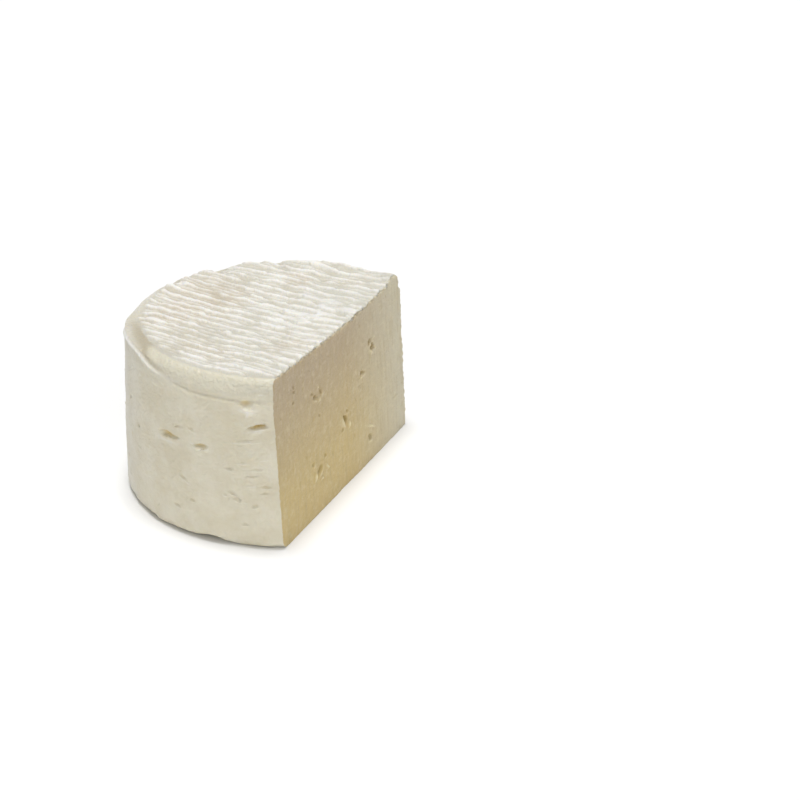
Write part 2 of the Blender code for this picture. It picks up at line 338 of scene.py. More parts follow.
# Small scratches and dimples in the wall, and raised wrinkles, whose depth is below nothing:
# direction, height, length, opening and depth in millimetres, tilt
WALL_MARKS = (
    (280, 41.8, 21, 1.1, -0.29, 6.5),
    (281, 43, 6.9, 0.75, 0.46, 8),
    (282.2, 54.2, 7, 4.4, -0.6, 0),
    (264, 36.3, 6.6, 1.3, -0.36, 6),
    (285.6, 46.5, 7.6, 1.5, -0.36, 14),
    (253, 36.4, 4, 1.6, -0.14, 20),
    (284, 17, 3.91, 1.1, 0.69, 10),
    (276, 21.4, 6.21, 0.9, 0.58, -20),
    (273, 20, 4, 1.2, -0.36, -20),
    (280, 18, 4.6, 1.2, -0.36, 0),
    (223, 41.5, 1.8, 1.9, 0.69, 0),
    (254.5, 42.7, 3.91, 1, 0.58, 15),
    (260.6, 43.6, 3.68, 1, 0.58, -15),
    (256.4, 23.4, 5.75, 1.2, 0.69, -24),
    (258.6, 21.6, 3.2, 1.3, -0.36, -20),
    (275, 31, 4.6, 0.98, 0.63, 0),
    (283, 29, 6.21, 0.98, 0.63, 6),
    (285, 31.8, 5.75, 0.9, 0.58, 4),
    (280, 33.6, 6, 1.1, -0.3, 4),
    (287.4, 35.6, 5, 1.1, -0.3, 4),
    (288, 25, 5.75, 0.9, 0.63, 0),
    (287.5, 22.4, 4.83, 0.83, 0.58, 2),
    (282.4, 24.8, 6.6, 1.1, -0.3, 2),
    (260.5, 15, 3.45, 0.98, 0.58, 0),
    (254, 11, 4.37, 0.98, 0.58, -8),
    (280.5, 9.5, 4.37, 0.98, 0.58, 0),
    (286.6, 61, 5, 1.2, -0.36, 6),
    (287.6, 50.6, 4.6, 1.1, -0.3, 0),
)

# Openings in the cut face: place along Y, height, length, opening and depth in millimetres,
# tilt, steepness
CUT_OPENINGS = (
    (26, 47.4, 3.6, 2.4, 1.2, 20, 0.2),
    (28, 44.5, 4.2, 2.8, 1.6, -40, 0.2),
    (18, 38, 5, 1.7, 1.1, -10, 0.1),
    (1.2, 26.2, 5.2, 2.8, 1.6, -60, 0.1),
    (-22.4, 45.6, 4.2, 1.8, 1, -25, 0.1),
    (-17.8, 46.2, 2.5, 3, 1, 30, 0.1),
    (-22, 16.2, 5.8, 2.2, 1.4, 35, 0.1),
    (22, 9.8, 4.5, 2.5, 1.3, -10, 0.1),
)

# Smaller pits in the cut face, and crumbs that stand out of it, whose depth is below nothing:
# the same columns without steepness
CUT_MARKS = (
    (25.2, 41.6, 6.5, 1.6, 0.75, 82),
    (29.6, 48, 2.91, 1.4, -0.62, 50),
    (30.4, 43, 3.47, 1.4, -0.62, -60),
    (16.2, 36.6, 3.47, 1.4, -0.62, 10),
    (4, 23, 4.26, 2.2, -0.83, 60),
    (-1.6, 23.2, 2.6, 1.4, 0.62, 40),
    (3.2, 28.8, 2.2, 1.4, 0.62, 0),
    (-20, 43.6, 4.26, 1.4, -0.73, 30),
    (-24.6, 48, 2.2, 1.4, 0.75, 0),
    (-20.2, 48.8, 2.13, 1.3, -0.62, 0),
    (-26.4, 15, 5.38, 1.9, -0.83, 60),
    (-16, 15, 4.82, 1.8, -0.83, -50),
    (-21, 12.4, 4.26, 1.7, -0.73, 10),
    (-27.2, 20.8, 2.6, 1.7, 0.88, 30),
    (-17, 20, 2.2, 1.4, 0.75, 0),
    (-39, 57, 1.4, 1.3, 0.75, 0),
    (-39.2, 55.2, 1.3, 1.2, 0.62, 0),
    (-40, 51.5, 1.6, 1.3, 0.62, 0),
    (23, 13.6, 9.41, 1.7, -0.62, -26),
    (46, 16, 6, 1.4, 0.3, 0),
    (-25, 38, 2.9, 1.3, 0.4, 20),
    (-20, 37.6, 2.6, 1.3, 0.4, -20),
    (-30, 35, 7.2, 1.3, -0.35, 45),
    (-43, 27, 8.4, 1.3, -0.35, 88),
)
FINE_STEP = 0.3 * MM
FINE_ALONG = 0.55                # half of the fine field, for the opening's length
FINE_ACROSS = 0.8                # and for its width
FINE_MARGIN = 0.4 * MM
ROW_SHARE = 0.87                 # rows this close, for their spots' distance, make even triangles
FINE_WITHIN = 0.96               # fine spots end a little inside the field


def in_metres(rows, first, last):
    """The rows of a table whose columns from first up to last are written in millimetres."""
    return [(*row[:first], *(value * MM for value in row[first:last]), *row[last:]) for row in rows]


def with_detail(spots, openings, size):
    """Swap the spots round each opening for finer ones."""
    parts = []
    for centre, length, opening, tilt in openings:
        halves = np.array([FINE_ALONG * length, FINE_ACROSS * opening]) + FINE_MARGIN
        turned = np.array([[math.cos(tilt), -math.sin(tilt)], [math.sin(tilt), math.cos(tilt)]])
        spots = spots[np.sum((((spots - centre) @ turned) / halves) ** 2, axis=1) > 1.0]
        fine = staggered(-halves, halves, size, ROW_SHARE * size)
        fine = fine[np.sum((fine / halves) ** 2, axis=1) < FINE_WITHIN]
        parts.append(fine @ turned.T + centre)
    return np.concatenate([spots, *parts])


def wall_spot(degrees, height):
    """The place round the girth and up the run of a direction and a height on the wall."""
    foot = crease_height(degrees) + CREASE_HALF_WIDTH
    run = ROUNDING_RUN + WALL_RUN * (height - BASE_ROUNDING) / (foot - BASE_ROUNDING)
    ends = skin_turn(np.array([run, run]), np.array([0.0, 1.0]))
    return np.array([GIRTH * (math.radians(degrees) - ends[0]) / (ends[1] - ends[0]), run])


# The sides that a knife didn't reach carry marks of the same kinds all round
HIDDEN_MARKS = 34
HIDDEN_TURNS = (72.0, 242.0)
HIDDEN_HEIGHTS = (8.0 * MM, 54.0 * MM)
HIDDEN_LENGTHS = (2.4, 5.0)      # these three in millimetres
HIDDEN_WIDTHS = (0.9, 1.4)
HIDDEN_DEPTHS = (0.4, 0.3, -0.25)
HIDDEN_TILT = 10.0
draw = np.random.default_rng(5)
hidden_marks = [(draw.uniform(*HIDDEN_TURNS), draw.uniform(*HIDDEN_HEIGHTS),
                 draw.uniform(*HIDDEN_LENGTHS) * MM, draw.uniform(*HIDDEN_WIDTHS) * MM,
                 draw.choice(HIDDEN_DEPTHS) * MM, draw.normal(0.0, HIDDEN_TILT))
                for _ in range(HIDDEN_MARKS)]
wall_marks = [*in_metres(WALL_MARKS, 1, 5), *hidden_marks]
wall_presses = [*in_metres(WALL_OPENINGS, 1, 5), *((*mark, 0.0) for mark in wall_marks)]
wall_details = [(wall_spot(turn, height), length, opening, math.radians(tilt))
                for turn, height, length, opening, _, tilt, _ in wall_presses]

# Spots over the skin: along and up, closer together where the shoulder curls
WALL_GRID = (0.82 * MM, 0.72 * MM)
WALL_GRID_END = SHOULDER_START - 3.0 * MM
SHOULDER_GRID = (0.8 * MM, 0.42 * MM)
SHOULDER_GRID_START = SHOULDER_START - 2.6 * MM
wall_spots = staggered((0.0, 0.0), (GIRTH, WALL_GRID_END), *WALL_GRID)
shoulder_spots = staggered((0.0, SHOULDER_GRID_START), (GIRTH, SKIN_RUN), *SHOULDER_GRID)
skin_spots = with_detail(np.concatenate([wall_spots, shoulder_spots]), wall_details, FINE_STEP)
skin_border = [back_column[0], *base_ring, *front_column, *top_ring[::-1], *back_column[:0:-1]]
skin_flat = np.concatenate([spots_at(round_base[:-1], 0.0), spots_at(GIRTH, runs),
                            spots_at(inner_top[::-1], SKIN_RUN), spots_at(0.0, runs[:0:-1])])
add_patch(skin_border, skin_flat, skin_spots, skin_place, gap=0.45 * MM)
skin_count = len(wheel_faces)

# The ridges that the draining mat printed run in even lines that draw together away from the
# cut; the top's rows of points follow them
RIDGE_PITCH = 5.2 * MM
RIDGE_LINE_X = 19.0 * MM
RIDGE_LEAN = 0.12
RIDGE_FAN = 0.6
ROWS_PER_RIDGE = 14
TOP_ALONG = 0.8 * MM
TOP_WIDER = 1.2                  # the rows start wider than the top, as the fan draws them in
top_spots = staggered((-BASE_RADIUS, -TOP_WIDER * BASE_RADIUS), (CUT_FOOT_X, TOP_WIDER * BASE_RADIUS),
                      TOP_ALONG, RIDGE_PITCH / ROWS_PER_RIDGE)
away = top_spots[:, 0] - RIDGE_LINE_X
top_spots[:, 1] += away * (RIDGE_FAN * top_spots[:, 1] - RIDGE_LEAN)
top_spots = top_spots[np.hypot(top_spots[:, 0], top_spots[:, 1]) < BASE_RADIUS]
top_border = [back_column[-1], *top_ring, front_column[-1], *arris]
add_patch(top_border, wheel_points[top_border][:, :2], top_spots,
          lambda spots: np.column_stack([spots, top_height(spots[:, 0], spots[:, 1])]), gap=0.34 * MM)
top_count = len(wheel_faces)

CUT_GRID = (0.56 * MM, 0.52 * MM)
cut_marks = in_metres(CUT_MARKS, 0, 5)
cut_presses = [*in_metres(CUT_OPENINGS, 0, 5), *((*mark, 0.0) for mark in cut_marks)]
cut_details = [(np.array([y, z]), length, opening, math.radians(tilt))
               for y, z, length, opening, _, tilt, _ in cut_presses]
cut_spots = staggered((-BASE_RADIUS, 0.0), (BASE_RADIUS, wheel_high[2]), *CUT_GRID)
cut_spots = with_detail(cut_spots, cut_details, FINE_STEP)
cut_border = [*cut_foot, *back_column, *arris[::-1], *front_column[::-1]]
add_patch(cut_border, wheel_points[cut_border][:, 1:], cut_spots,
          lambda spots: np.column_stack([cut_x(spots[:, 1]), spots]), gap=0.38 * MM)
cut_count = len(wheel_faces)

BASE_GRID = (4.0 * MM, 4.0 * MM)
base_spots = staggered((-BASE_RADIUS, -BASE_RADIUS), (CUT_FOOT_X, BASE_RADIUS), *BASE_GRID)
base_border = [back_column[0], *base_ring, front_column[0], *cut_foot]
add_patch(base_border, wheel_points[base_border][:, :2], base_spots,
          lambda spots: np.column_stack([spots, 0.0 * spots[:, 0]]), gap=1.5 * MM)

# Each opening is pressed in along its own direction, a little upward, so that its upper edge
# overhangs, and a low rim stands below it, whitened as a painted highlight. Its outline is uneven.
# The colour that an opening takes is painted shade, darker and yellower the deeper it is pressed in.
UNDERCUT = 0.3
RIM_SHARE = 0.3                  # the rim's height for the opening's depth
LEAST_HOLLOW = 0.3 * MM          # how deep an opening is where its colour starts
FULL_HOLLOW = 1.6 * MM           # and where it is fullest
# what stands out, raised wrinkles, crumbs and the rim below an opening, is whitened as a painted highlight
FULL_PROUD = 0.7 * MM            # and how far a wrinkle stands out where it is whitest
PRESS_REACH = 4.0 * MM           # how far from the surface its points are looked for
OUTLINE_LOBES = ((3.0, 0.14, 1.0), (5.0, 0.1, 2.0))  # how many, how much, their turn
OUTLINE_TURN = 40.0              # for each millimetre of length, so that no two are alike
RIM_ALONG = 0.8                  # the rim's spread along, in half lengths
RIM_UP = (-1.5, 0.5)             # its place below the middle and its spread, in half widths
hollow_shade, proud_highlight, crown, top_side = np.zeros((4, len(wheel_points)))
face_array = np.array(wheel_faces)
top_side[face_array[:top_count].ravel()] = 1.0
crown[face_array[skin_count:top_count].ravel()] = 1.0


def press_in(place, outward, level, length, opening, depth, tilt, steep):
    """Press one opening into the wheel's points, or raise a wrinkle where depth is negative."""
    lean = math.radians(tilt)
    along = level * math.cos(lean) + np.cross(outward, level) * math.sin(lean)
    upward = np.cross(outward, along)
    apart = wheel_points - place
    near = np.flatnonzero((np.abs(apart @ outward) < PRESS_REACH) & (np.abs(apart @ along) < length))
    apart = apart[near]
    ahead = apart @ along / (0.5 * length)
    above = apart @ upward / (0.5 * opening)
    around = np.arctan2(above, ahead)
    phase = OUTLINE_TURN * length / MM
    uneven = 1.0
    for lobes, much, turns in OUTLINE_LOBES:
        uneven = uneven + much * np.sin(lobes * around + turns * phase)
    dip = 1.0 - ease(np.hypot(ahead, above) * uneven, steep, 1.0)
    rim = RIM_SHARE * bell(ahead, 0.0, RIM_ALONG) * bell(above, *RIM_UP) if depth > 0.0 else 0.0
    shift = (dip - rim) * depth
    undercut = UNDERCUT * np.maximum(shift, 0.0)
    wheel_points[near] += np.outer(-shift, outward) + np.outer(undercut, upward)
    hollow_shade[near] = np.maximum(hollow_shade[near], ease(shift, LEAST_HOLLOW, FULL_HOLLOW))
    proud_highlight[near] = np.maximum(proud_highlight[near], np.clip(-shift / FULL_PROUD, 0.0, 1.0))


for direction, height, *form in wall_presses:
    turn = math.radians(direction)
    outward = np.array([math.cos(turn), math.sin(turn), 0.0])
    level = np.array([-math.sin(turn), math.cos(turn), 0.0])
    place = outward * wall_radius(height, turn) + np.array([0.0, 0.0, height])
    press_in(place, outward, level, *form)
cut_outward = np.array([1.0, 0.0, CUT_SLOPE]) / math.hypot(1.0, CUT_SLOPE)
for y, height, *form in cut_presses:
    place = np.array([cut_x(height), y, height])
    press_in(place, cut_outward, np.array([0.0, 1.0, 0.0]), *form)

# The curd crumbles along the edges that the knife left, most along the top, and less along the
# upright edges, where the skin held it: points of the edge, how much, where it starts to fade
# and where it has faded
CHIPPED_REACH = 1.3 * MM
CHIPPED_EDGES = (
    (arris, 1.0, 0.2 * MM, CHIPPED_REACH),
    (front_column + back_column, 0.2, 0.1 * MM, 0.8 * CHIPPED_REACH),
)
chipped = np.zeros(len(wheel_points))
for edge, much, start, end in CHIPPED_EDGES:
    sharp_edge = KDTree(len(edge))
    for k in edge:
        sharp_edge.insert(wheel_points[k], k)
    sharp_edge.balance()
    from_edge = np.array([sharp_edge.find(point)[2] for point in wheel_points])
    chipped = np.maximum(chipped, much * (1.0 - ease(from_edge, start, end)))

# Where the mat printed. Patches of the print were pressed flat into one another or, below
# nothing, worn away; the valleys stayed moist and warm in colour, or below nothing cool; and one
# is shallow: place and reach along X and Y in millimetres, and how much
PRINT_RADIUS = 55.4 * MM
BARE_WIDTH = 2.2 * MM            # how far the print stays back at the front left
BARE_ROUND = (232.0, 24.0)
BACK_WIDTH = 3.0 * MM            # and how much farther it goes at the back
BACK_RANGE = (0.0, 30.0 * MM)    # along Y
PRINT_FADE = (2.6 * MM, 1.6 * MM)  # inside and outside of its edge
KNIFE_SHALLOW = 0.5              # share of its depth that is lost where the knife lifted the lip
KNIFE_SHALLOW_SPREAD = 9.0
KNIFE_SHALLOW_RANGE = (46.0 * MM, 54.0 * MM)  # from the wheel's middle
PRESSED = (
    (5, 12, 13, 13, 1.2), (16, 14, 8, 9, 0.6),
    (1, -3, 8, 5, 0.6), (-11, -18, 6, 3.5, 0.9),
    (-26, -5, 6, 3, 1.1), (-31, 4.5, 6, 3.5, -0.5),
    (-10, -11.5, 6, 2.8, -1), (-42, 13, 9, 7, -0.3),
    (4, 41, 5, 5, -0.4), (-13.5, 34, 5, 5, -0.4),
    (10, -22, 5, 5, -0.5), (15, 5, 5, 3, -0.9),
)
WARM = (
    (-38, 12, 13, 12, 1), (-42, -14, 7, 10, 0.8),
    (-12, 36, 7, 8, 0.7), (5, 42, 7, 6, 0.45),
    (10, -23, 6, 7, 0.55), (-15, -38, 14, 7, 0.5),
    (-36, -2, 16, 24, 0.6), (14, 28, 18, 16, -0.5),
)
SHALLOW = ((14, 26, 18, 16, 0.18),)
px, py, pz = wheel_points.T
from_middle = np.hypot(px, py)
degrees = np.degrees(np.arctan2(py, px)) % 360.0


def patches(places):
    """How much each point lies in some soft-edged patches."""
    return sum(much * bell(px, x, reach_x) * bell(py, y, reach_y)
               for x, y, reach_x, reach_y, much in in_metres(places, 0, 4))


print_edge = PRINT_RADIUS - BARE_WIDTH * bell(degrees, *BARE_ROUND) + BACK_WIDTH * ease(py, *BACK_RANGE)
printed = 1.0 - ease(from_middle, print_edge - PRINT_FADE[0], print_edge + PRINT_FADE[1])
printed *= top_side * (pz > CREASE_LOW)
near_knife = bell(degrees, KNIFE_LIFT[0], KNIFE_SHALLOW_SPREAD)
print_depth = 1.0 - KNIFE_SHALLOW * near_knife * ease(from_middle, *KNIFE_SHALLOW_RANGE)
print_depth *= 1.0 - patches(SHALLOW)

wheel_mesh = bpy.data.meshes.new("fresh_cheese_wheel")
wheel_mesh.from_pydata(wheel_points.tolist(), [], wheel_faces)
wheel = bpy.data.objects.new("fresh_cheese_wheel", wheel_mesh)
bpy.context.scene.collection.objects.link(wheel)
shaping = bmesh.new()
shaping.from_mesh(wheel_mesh)
bmesh.ops.recalc_face_normals(shaping, faces=shaping.faces)
shaping.to_mesh(wheel_mesh)
shaping.free()
wheel_mesh.shade_smooth()

# A painted highlight along the bead, painted shade just above it, and a painted highlight along the rim on
# the left
BEAD_HIGHLIGHT_MUCH = 1.15
BEAD_HIGHLIGHT_START_RANGE = (190.0, 206.0)
BEAD_HIGHLIGHT_END_RANGE = (224.0, 262.0)
BEAD_HIGHLIGHT_UP = (0.55 * MM, 0.65 * MM)  # above the crease, and its spread
TROUGH_SHADE_START_RANGE = (203.0, 215.0)
TROUGH_SHADE_UP = (2.0 * MM, 0.9 * MM)
SKIN_BEYOND = 54.0 * MM          # from the wheel's middle
RIM_HIGHLIGHT = 0.7
RIM_HIGHLIGHT_ROUND = (182.0, 14.0)
RIM_HIGHLIGHT_ABOVE = 61.0 * MM
above_crease = pz - crease_height(degrees)
on_skin = from_middle > SKIN_BEYOND
# painted highlight along the bead
bead_highlight = BEAD_HIGHLIGHT_MUCH * ease(degrees, *BEAD_HIGHLIGHT_START_RANGE) * (1.0 - ease(degrees, *BEAD_HIGHLIGHT_END_RANGE))
bead_highlight = bead_highlight * bell(above_crease, *BEAD_HIGHLIGHT_UP) * on_skin
# painted highlight along the rim on the left
rim_highlight = bell(degrees, *RIM_HIGHLIGHT_ROUND) * (1.0 - printed)
rim_highlight = rim_highlight * (pz > RIM_HIGHLIGHT_ABOVE) * top_side
proud_highlight = np.maximum(proud_highlight, np.maximum(bead_highlight, RIM_HIGHLIGHT * rim_highlight))
# painted shade just above the bead, where the skin sinks behind it
trough_shade = ease(degrees, *TROUGH_SHADE_START_RANGE) * (1.0 - ease(degrees, *BEAD_END_RANGE))
trough_shade = trough_shade * on_skin * bell(above_crease, *TROUGH_SHADE_UP) * (1.0 - printed)
crown = np.maximum(crown, printed)

kept = {"printed": printed, "print_depth": print_depth, "pressed": patches(PRESSED),
        "warm": patches(WARM), "trough_shade": trough_shade, "hollow_shade": hollow_shade, "proud_highlight": proud_highlight, "crown": crown,
        "chipped": chipped}
for name, values in kept.items():
    wheel_mesh.attributes.new(name, "FLOAT", "POINT").data.foreach_set("value", values)
knife_face = np.zeros(len(wheel_faces), dtype=bool)
knife_face[top_count:cut_count] = True
wheel_mesh.attributes.new("knife_face", "BOOLEAN", "FACE").data.foreach_set("value", knife_face)


def node(tree, kind, inputs=None, **settings):
    """Add a node with its settings; inputs maps a socket to a value, a socket or another node."""
    made = tree.nodes.new(kind)
    for name, value in settings.items():
        setattr(made, name, value)
    for socket, value in (inputs or {}).items():
        if isinstance(value, bpy.types.Node):
            value = value.outputs[0]
        if isinstance(value, bpy.types.NodeSocket):
            tree.links.new(value, made.inputs[socket])
        else:
            made.inputs[socket].default_value = value
    return made


def new_shaping(name, sizes):
    """A geometry tree with a named input for each size. Returns it with what it is given."""
    tree = bpy.data.node_groups.new(name, "GeometryNodeTree")
    tree.interface.new_socket("Geometry", in_out="INPUT", socket_type="NodeSocketGeometry")
    tree.interface.new_socket("Geometry", in_out="OUTPUT", socket_type="NodeSocketGeometry")
    kinds = {int: "NodeSocketInt", float: "NodeSocketFloat"}
    for label, value in sizes.items():
        tree.interface.new_socket(label, in_out="INPUT", socket_type=kinds[type(value)])
    return tree, node(tree, "NodeGroupInput").outputs


def shape_with(piece, tree, sizes):
    """Put a geometry tree on a piece and set its inputs."""
    step = piece.modifiers.new(tree.name, "NODES")
    step.node_group = tree
    for item in tree.interface.items_tree:
        if item.in_out == "INPUT" and item.name in sizes:
            step[item.identifier] = sizes[item.name]


def linear(colour):
    """A hex sRGB colour as linear red, green, blue and a full alpha."""
    parts = [int(colour[k:k + 2], 16) / 255.0 for k in (1, 3, 5)]
    return [*(p / 12.92 if p <= 0.04045 else ((p + 0.055) / 1.055) ** 2.4 for p in parts), 1.0]


# Queso fresco's skin, curd that set against a smooth mould: matt and creamy on the wall, a little
# darker between the ridges and whitest on the ridges. That is partly the curd's own colour, moist
# between the ridges and dry on them, and partly painted shade between them and painted highlight on them.
# Light goes a little way into it, which softens every edge.
WALL_CREAM = "#E4DECA"
WALL_SHADE = "#DCD4BC"
# painted shade and a cool reflection on the left side of the skin
WALL_PAINTED_GREY_SHADE = "#D6D4CB"
SHOULDER_PALE = "#D9D4C1"
VALLEY_BEIGE = "#CFCCBF"
VALLEY_WARM = "#C9C0AE"
RIDGE_WHITE = "#F0EEE9"
# painted shade inside the openings of the skin
HOLLOW_PAINTED_SHADE = "#D7C189"
CRUMB_CREAM = "#D5D0BC"
# painted shade just above the bead
TROUGH_SHADE_BEIGE = "#BCB39E"
CURD_LOOK = {
    "IOR": 1.38,                 # mostly water and milk fat
    "Subsurface Weight": 0.3,
    "Subsurface Radius": (1.0, 0.8, 0.5),
    "Subsurface Scale": 0.5 * MM,  # how far light wanders in the curd
}
CLOUD_SIZE = 12.0 * MM
CLOUDS_WARM = 0.3                # how much the clouds warm the valleys
CHIPPED_SHOWS = 0.5
PROUD_SHOWS = 0.75
# The skin's real grain is a few tenths of a millimetre, too fine to show, so it is drawn coarser
SKIN_GRAIN = 1.3 * MM


def look_of_curd(material, names):
    """Give a material the look of curd. Returns tree, shader, place, its axes and attributes."""
    material.use_nodes = True
    tree = material.node_tree
    shader = tree.nodes["Principled BSDF"]
    for socket, value in CURD_LOOK.items():
        shader.inputs[socket].default_value = value
    place = node(tree, "ShaderNodeTexCoord").outputs["Object"]
    read = {name: node(tree, "ShaderNodeAttribute", attribute_name=name).outputs["Fac"] for name in names}
    return tree, shader, place, node(tree, "ShaderNodeSeparateXYZ", {0: place}).outputs, read


moulded_skin = bpy.data.materials.new("moulded_queso_fresco_skin")
tree, shader, place, axes, read = look_of_curd(
    moulded_skin, ("ridge", "hollow_shade", "crown", "warm", "trough_shade", "chipped", "proud_highlight"))
clouds = node(tree, "ShaderNodeTexNoise", {"Vector": place, "Scale": 1.0 / CLOUD_SIZE, "Detail": 4.0,
                                           "Roughness": 0.65})
# the skin turns greyer and darker towards the left: painted shade with a cool painted reflection at the
# grazing edge
cloudy, left_painted_shade, shouldered = (
    node(tree, "ShaderNodeMapRange", {"Value": value, "From Min": start, "From Max": end, "To Max": most})
    for value, start, end, most in ((clouds, 0.38, 0.62, 1.0), (axes["X"], -36.0 * MM, -58.0 * MM, 0.6),
                                    (axes["Z"], 57.0 * MM, 63.0 * MM, 1.0)))
cloudy_top = node(tree, "ShaderNodeMath", {0: cloudy, 1: read["crown"]}, operation="MULTIPLY")
warmer = node(tree, "ShaderNodeMath", {0: cloudy_top, 1: CLOUDS_WARM, 2: read["warm"]},
              operation="MULTIPLY_ADD", use_clamp=True)
broken = node(tree, "ShaderNodeMath", {0: read["chipped"], 1: CHIPPED_SHOWS}, operation="MULTIPLY")
# painted highlight on what stands out
highlighted = node(tree, "ShaderNodeMath", {0: read["proud_highlight"], 1: PROUD_SHOWS}, operation="MULTIPLY")
# A mix takes its two colours from sockets 6 and 7 and gives their mixture as output 2
tone = linear(WALL_CREAM)
for share, colour in ((cloudy, WALL_SHADE), (left_painted_shade, WALL_PAINTED_GREY_SHADE), (shouldered, SHOULDER_PALE),
                      (read["crown"], VALLEY_BEIGE), (warmer, VALLEY_WARM),
                      (read["ridge"], RIDGE_WHITE), (read["hollow_shade"], HOLLOW_PAINTED_SHADE),
                      (read["trough_shade"], TROUGH_SHADE_BEIGE), (broken, CRUMB_CREAM), (highlighted, RIDGE_WHITE)):
    tone = node(tree, "ShaderNodeMix", {"Factor": share, 6: tone, 7: linear(colour)},
                data_type="RGBA").outputs[2]
tree.links.new(tone, shader.inputs["Base Color"])
gloss = node(tree, "ShaderNodeMapRange", {"Value": read["ridge"], "To Min": 0.42, "To Max": 0.62})
tree.links.new(gloss.outputs[0], shader.inputs["Roughness"])
grain = node(tree, "ShaderNodeTexNoise", {"Vector": place, "Scale": 1.0 / SKIN_GRAIN, "Detail": 1.0})
relief = node(tree, "ShaderNodeBump", {"Strength": 1.0, "Distance": 0.45 * MM, "Height": grain})
tree.links.new(relief.outputs[0], shader.inputs["Normal"])

# The paste that the knife laid open: the same curd, closely knit, with fine upright streaks that
# the blade drew. It is darker and yellower than its skin, partly because it is creamier and partly
# as painted shade and warm reflected light, the warm light strongest towards the foot.
# partly the paste's own colour and partly painted shade
PASTE_CREAM = "#BEAB8C"
# painted warm reflected light, low on the cut face
PASTE_WARM_REFLECTION = "#D0BA83"
# the paste's tone towards the back, where the painted warm light fades
PASTE_PALE = "#D1C8AE"
PASTE_STREAK = "#B7A375"
PASTE_CRUMB = "#ECE2BF"
# painted shade inside the openings of the cut face
PASTE_PAINTED_SHADE = "#AB9660"
STREAK_SIZE = 1.8 * MM
STREAK_STRETCH = (1.0, 1.0, 0.14)
KNOT_SIZE = 3.0 * MM
PASTE_CHIPPED_SHOWS = 0.7
# The paste's real crumb is a few tenths of a millimetre too, and is drawn coarser so that it shows
PASTE_GRAIN = 1.1 * MM

cut_paste = bpy.data.materials.new("cut_queso_fresco_paste")
tree, shader, place, axes, read = look_of_curd(cut_paste, ("hollow_shade", "chipped", "proud_highlight"))
shader.inputs["Roughness"].default_value = 0.5
drawn = node(tree, "ShaderNodeMapping", {"Vector": place, "Scale": STREAK_STRETCH})
streaks = node(tree, "ShaderNodeTexNoise", {"Vector": drawn, "Scale": 1.0 / STREAK_SIZE, "Detail": 4.0,
                                            "Roughness": 0.6})
knots = node(tree, "ShaderNodeTexNoise", {"Vector": place, "Scale": 1.0 / KNOT_SIZE, "Detail": 4.0,
                                          "Roughness": 0.7})
# painted warm reflected light, strongest towards the foot and fading towards the back
warm_reflection_low, warm_reflection_fades, drawn_down, knotted = (
    node(tree, "ShaderNodeMapRange", {"Value": value, "From Min": start, "From Max": end, "To Max": most})
    for value, start, end, most in ((axes["Z"], 58.0 * MM, 18.0 * MM, 1.0),
                                    (axes["Y"], 5.0 * MM, 50.0 * MM, 1.0),
                                    (streaks, 0.5, 0.75, 0.5), (knots, 0.5, 0.75, 0.35)))
broken = node(tree, "ShaderNodeMath", {0: read["chipped"], 1: PASTE_CHIPPED_SHOWS}, operation="MULTIPLY")
# what stands out of the paste is whitened as a painted highlight
tone = linear(PASTE_CREAM)
for share, colour in ((warm_reflection_low, PASTE_WARM_REFLECTION), (warm_reflection_fades, PASTE_PALE), (drawn_down, PASTE_STREAK),
                      (knotted, PASTE_CRUMB), (read["proud_highlight"], PASTE_CRUMB), (broken, CRUMB_CREAM),
                      (read["hollow_shade"], PASTE_PAINTED_SHADE)):
    tone = node(tree, "ShaderNodeMix", {"Factor": share, 6: tone, 7: linear(colour)},
                data_type="RGBA").outputs[2]
tree.links.new(tone, shader.inputs["Base Color"])
grain = node(tree, "ShaderNodeTexNoise", {"Vector": place, "Scale": 1.0 / PASTE_GRAIN, "Detail": 1.0})
relief = node(tree, "ShaderNodeBump", {"Strength": 1.0, "Distance": 0.35 * MM, "Height": grain})
relief = node(tree, "ShaderNodeBump", {"Strength": 1.0, "Distance": 0.15 * MM, "Height": streaks,
                                       "Normal": relief})
tree.links.new(relief.outputs[0], shader.inputs["Normal"])

# The mat's print: ridges that lean a little across the top. The curd took the print unevenly,
# so they waver, break off, fork, and run together where they were pressed flat. A wave across
# them, roughened by noise that is drawn out along them, is cut off at a level to give their
# outline, and they stand out of the dish along Z.
PRINT = {
    "Pitch": RIDGE_PITCH,
    "First ridge": -56.0 * MM,
    "Reference X": RIDGE_LINE_X,
    "Lean": RIDGE_LEAN,
    "Fan": RIDGE_FAN,
    "Ridge height": 0.86 * MM,
    "Valley depth": 0.25 * MM,
    "Level": 0.5,
    "Thin level": 0.85,
    "Thin share": 0.55,
    "Soft edge": 0.33,
    "Ragged": 2.7,
    "Patchy": 2.2,
    "Fade": 1.4,
    "Pressed": 0.62,
    "Pressed wave": 0.75,
    "Pressed ragged": 2.6,
    "Wander": 6.0 * MM,
    "Waver": 2.2 * MM,
    "Seed": 4.0,
}
tree, given = new_shaping("mat_print", PRINT)
place = node(tree, "GeometryNodeInputPosition")
axes = node(tree, "ShaderNodeSeparateXYZ", {0: place}).outputs
printed, pressed, depth = (node(tree, "GeometryNodeInputNamedAttribute", {"Name": name})
                           for name in ("printed", "pressed", "print_depth"))
away = node(tree, "ShaderNodeMath", {0: axes["X"], 1: given["Reference X"]}, operation="SUBTRACT")
leaned = node(tree, "ShaderNodeMath", {0: away, 1: given["Lean"], 2: axes["Y"]}, operation="MULTIPLY_ADD")
spread = node(tree, "ShaderNodeMath", {0: away, 1: given["Fan"], 2: 1.0}, operation="MULTIPLY_ADD")
line = node(tree, "ShaderNodeMath", {0: leaned, 1: spread}, operation="DIVIDE")
along = node(tree, "ShaderNodeCombineXYZ", {"X": axes["X"], "Y": line})
